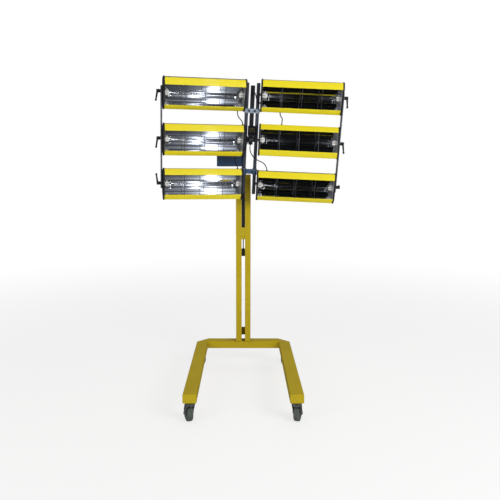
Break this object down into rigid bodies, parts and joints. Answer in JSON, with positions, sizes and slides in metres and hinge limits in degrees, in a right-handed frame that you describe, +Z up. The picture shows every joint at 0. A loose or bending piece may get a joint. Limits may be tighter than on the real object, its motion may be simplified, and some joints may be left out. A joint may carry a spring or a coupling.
{
  "type": "infrared paint curing lamp",
  "caption": "Wheeled stand with a sliding mast that carries two swinging banks of tilting infrared lamp cassettes.",
  "frame": {"origin": "on the floor, under the middle of the lamp's bounding box, wheels down", "axes": "+Z up, +Y from the leg ends towards the mast's back, +X to the right of someone who faces the lamps"},
  "size_m": [0.986, 0.8184, 1.5516],
  "materials": {
    "stand_paint": "gloss golden yellow enamel on steel tube",
    "cassette_paint": "gloss lemon yellow enamel on folded sheet",
    "black_plastic": "black moulded plastic",
    "dark_paint": "black enamel on steel",
    "box_paint": "dark blue enamel",
    "bright_steel": "polished rod and zinc plated fitting",
    "zinc": "zinc plated pressed steel",
    "caster_tyre": "grey-green rubber tyre on a plastic hub",
    "polished_aluminium": "polished bright aluminium",
    "quartz": "clear quartz tube in white ceramic sockets",
    "guard_wire": "bright plated wire",
    "bar_grey": "dark grey enamel on steel",
    "lead_rubber": "black silicone rubber cable",
    "switch_plastic": "red rocker"
  },
  "bodies": {
    "stand": {"base_frame": "stand_paint", "mast_posts": "stand_paint", "post_caps": "black_plastic", "gas_spring_rod": "bright_steel"},
    "caster_front_left": {"caster_fork_front_left": "zinc"},
    "wheel_front_left": {"caster_wheel_front_left": "caster_tyre"},
    "caster_front_right": {"caster_fork_front_right": "zinc"},
    "wheel_front_right": {"caster_wheel_front_right": "caster_tyre"},
    "caster_rear_left": {"caster_fork_rear_left": "zinc"},
    "wheel_rear_left": {"caster_wheel_rear_left": "caster_tyre"},
    "caster_rear_right": {"caster_fork_rear_right": "zinc"},
    "wheel_rear_right": {"caster_wheel_rear_right": "caster_tyre"},
    "slider": {"slider_tube": "dark_paint", "slider_foot": "stand_paint", "gas_spring_cylinder": "dark_paint", "control_box": "box_paint"},
    "knob": {"timer_knob": "black_plastic"},
    "switch": {"power_switch": "switch_plastic"},
    "knuckle": {"tilt_knuckle": "zinc"},
    "head": {"head_spine": "dark_paint"},
    "bank_left": {"bank_frame_left": "bar_grey", "leads_left": "lead_rubber"},
    "cassette_left_top": {"housing_left_top": "cassette_paint", "end_caps_left_top": "black_plastic", "reflector_left_top": "polished_aluminium", "emitter_left_top": "quartz", "guard_left_top": "guard_wire"},
    "lever_left_top": {"clamp_lever_left_top": "black_plastic"},
    "cassette_left_middle": {"housing_left_middle": "cassette_paint", "end_caps_left_middle": "black_plastic", "reflector_left_middle": "polished_aluminium", "emitter_left_middle": "quartz", "guard_left_middle": "guard_wire"},
    "lever_left_middle": {"clamp_lever_left_middle": "black_plastic"},
    "cassette_left_bottom": {"housing_left_bottom": "cassette_paint", "end_caps_left_bottom": "black_plastic", "reflector_left_bottom": "polished_aluminium", "emitter_left_bottom": "quartz", "guard_left_bottom": "guard_wire"},
    "lever_left_bottom": {"clamp_lever_left_bottom": "black_plastic"},
    "bank_right": {"bank_frame_right": "bar_grey", "leads_right": "lead_rubber"},
    "cassette_right_top": {"housing_right_top": "cassette_paint", "end_caps_right_top": "black_plastic", "reflector_right_top": "polished_aluminium", "emitter_right_top": "quartz", "guard_right_top": "guard_wire"},
    "lever_right_top": {"clamp_lever_right_top": "black_plastic"},
    "cassette_right_middle": {"housing_right_middle": "cassette_paint", "end_caps_right_middle": "black_plastic", "reflector_right_middle": "polished_aluminium", "emitter_right_middle": "quartz", "guard_right_middle": "guard_wire"},
    "lever_right_middle": {"clamp_lever_right_middle": "black_plastic"},
    "cassette_right_bottom": {"housing_right_bottom": "cassette_paint", "end_caps_right_bottom": "black_plastic", "reflector_right_bottom": "polished_aluminium", "emitter_right_bottom": "quartz", "guard_right_bottom": "guard_wire"},
    "lever_right_bottom": {"clamp_lever_right_bottom": "black_plastic"}
  },
  "joints": [
    {"name": "swivel_front_left", "type": "hinge", "parent": "stand", "child": "caster_front_left", "pos_m": [-0.27505, -0.38115, 0.09], "axis": [0, 0, 1], "continuous": true},
    {"name": "roll_front_left", "type": "hinge", "parent": "caster_front_left", "child": "wheel_front_left", "pos_m": [-0.28441, -0.35797, 0.0375], "axis": [0.9272, 0.3746, 0], "continuous": true},
    {"name": "swivel_front_right", "type": "hinge", "parent": "stand", "child": "caster_front_right", "pos_m": [0.18895, -0.38115, 0.09], "axis": [0, 0, 1], "continuous": true},
    {"name": "roll_front_right", "type": "hinge", "parent": "caster_front_right", "child": "wheel_front_right", "pos_m": [0.19668, -0.35737, 0.0375], "axis": [0.9511, -0.309, 0], "continuous": true},
    {"name": "swivel_rear_left", "type": "hinge", "parent": "stand", "child": "caster_rear_left", "pos_m": [-0.27105, 0.33985, 0.09], "axis": [0, 0, 1], "continuous": true},
    {"name": "roll_rear_left", "type": "hinge", "parent": "caster_rear_left", "child": "wheel_rear_left", "pos_m": [-0.28644, 0.35955, 0.0375], "axis": [0.788, 0.6157, 0], "continuous": true},
    {"name": "swivel_rear_right", "type": "hinge", "parent": "stand", "child": "caster_rear_right", "pos_m": [0.18495, 0.33985, 0.09], "axis": [0, 0, 1], "continuous": true},
    {"name": "roll_rear_right", "type": "hinge", "parent": "caster_rear_right", "child": "wheel_rear_right", "pos_m": [0.19552, 0.36251, 0.0375], "axis": [0.9063, -0.4226, 0], "continuous": true},
    {"name": "height_slide", "type": "slide", "parent": "stand", "child": "slider", "axis": [0, 0, 1], "range_m": [-0.035, 0.22]},
    {"name": "timer_turn", "type": "hinge", "parent": "slider", "child": "knob", "pos_m": [-0.08625, 0.39385, 1.169], "axis": [0, -1, 0], "range_deg": [0, 300]},
    {"name": "switch_rock", "type": "hinge", "parent": "slider", "child": "switch", "pos_m": [-0.14505, 0.38935, 1.169], "axis": [1, 0, 0], "range_deg": [-18, 0]},
    {"name": "head_tilt", "type": "hinge", "parent": "slider", "child": "knuckle", "pos_m": [-0.00505, 0.27495, 1.267], "axis": [1, 0, 0], "range_deg": [-40, 4]},
    {"name": "head_roll", "type": "hinge", "parent": "knuckle", "child": "head", "pos_m": [-0.00505, 0.27495, 1.267], "axis": [0, 0.9854, 0.1702], "range_deg": [-47.4, 42.6]},
    {"name": "swing_left", "type": "hinge", "parent": "head", "child": "bank_left", "pos_m": [-0.03302, 0.21661, 1.25811], "axis": [0.0419, -0.1701, 0.9845], "range_deg": [-31, 7], "deforming": ["leads_left"]},
    {"name": "tilt_left_top", "type": "hinge", "parent": "bank_left", "child": "cassette_left_top", "pos_m": [-0.02344, 0.17767, 1.48357], "axis": [0.9773, 0.2118, -0.005], "range_deg": [-35, 35], "deforming": ["leads_left"]},
    {"name": "clamp_left_top", "type": "hinge", "parent": "cassette_left_top", "child": "lever_left_top", "pos_m": [-0.02344, 0.17767, 1.48357], "axis": [0.9773, 0.2118, -0.005], "range_deg": [-60, 60]},
    {"name": "tilt_left_middle", "type": "hinge", "parent": "bank_left", "child": "cassette_left_middle", "pos_m": [-0.03302, 0.21661, 1.25811], "axis": [0.9773, 0.2118, -0.005], "range_deg": [-35, 35], "deforming": ["leads_left"]},
    {"name": "clamp_left_middle", "type": "hinge", "parent": "cassette_left_middle", "child": "lever_left_middle", "pos_m": [-0.03302, 0.21661, 1.25811], "axis": [0.9773, 0.2118, -0.005], "range_deg": [-60, 60]},
    {"name": "tilt_left_bottom", "type": "hinge", "parent": "bank_left", "child": "cassette_left_bottom", "pos_m": [-0.04261, 0.25555, 1.03265], "axis": [0.9773, 0.2118, -0.005], "range_deg": [-35, 35], "deforming": ["leads_left"]},
    {"name": "clamp_left_bottom", "type": "hinge", "parent": "cassette_left_bottom", "child": "lever_left_bottom", "pos_m": [-0.04261, 0.25555, 1.03265], "axis": [0.9773, 0.2118, -0.005], "range_deg": [-60, 60]},
    {"name": "swing_right", "type": "hinge", "parent": "head", "child": "bank_right", "pos_m": [0.02293, 0.21701, 1.2558], "axis": [-0.0419, 0.1701, -0.9845], "range_deg": [-20.3, 17.7], "deforming": ["leads_right"]},
    {"name": "tilt_right_top", "type": "hinge", "parent": "bank_right", "child": "cassette_right_top", "pos_m": [0.03252, 0.17807, 1.48126], "axis": [0.9989, -0.0152, -0.0451], "range_deg": [-35, 35], "deforming": ["leads_right"]},
    {"name": "clamp_right_top", "type": "hinge", "parent": "cassette_right_top", "child": "lever_right_top", "pos_m": [0.03252, 0.17807, 1.48126], "axis": [0.9989, -0.0152, -0.0451], "range_deg": [-60, 60]},
    {"name": "tilt_right_middle", "type": "hinge", "parent": "bank_right", "child": "cassette_right_middle", "pos_m": [0.02293, 0.21701, 1.2558], "axis": [0.9989, -0.0152, -0.0451], "range_deg": [-35, 35], "deforming": ["leads_right"]},
    {"name": "clamp_right_middle", "type": "hinge", "parent": "cassette_right_middle", "child": "lever_right_middle", "pos_m": [0.02293, 0.21701, 1.2558], "axis": [0.9989, -0.0152, -0.0451], "range_deg": [-60, 60]},
    {"name": "tilt_right_bottom", "type": "hinge", "parent": "bank_right", "child": "cassette_right_bottom", "pos_m": [0.01334, 0.25595, 1.03034], "axis": [0.9989, -0.0152, -0.0451], "range_deg": [-35, 35], "deforming": ["leads_right"]},
    {"name": "clamp_right_bottom", "type": "hinge", "parent": "cassette_right_bottom", "child": "lever_right_bottom", "pos_m": [0.01334, 0.25595, 1.03034], "axis": [0.9989, -0.0152, -0.0451], "range_deg": [-60, 60]}
  ]
}
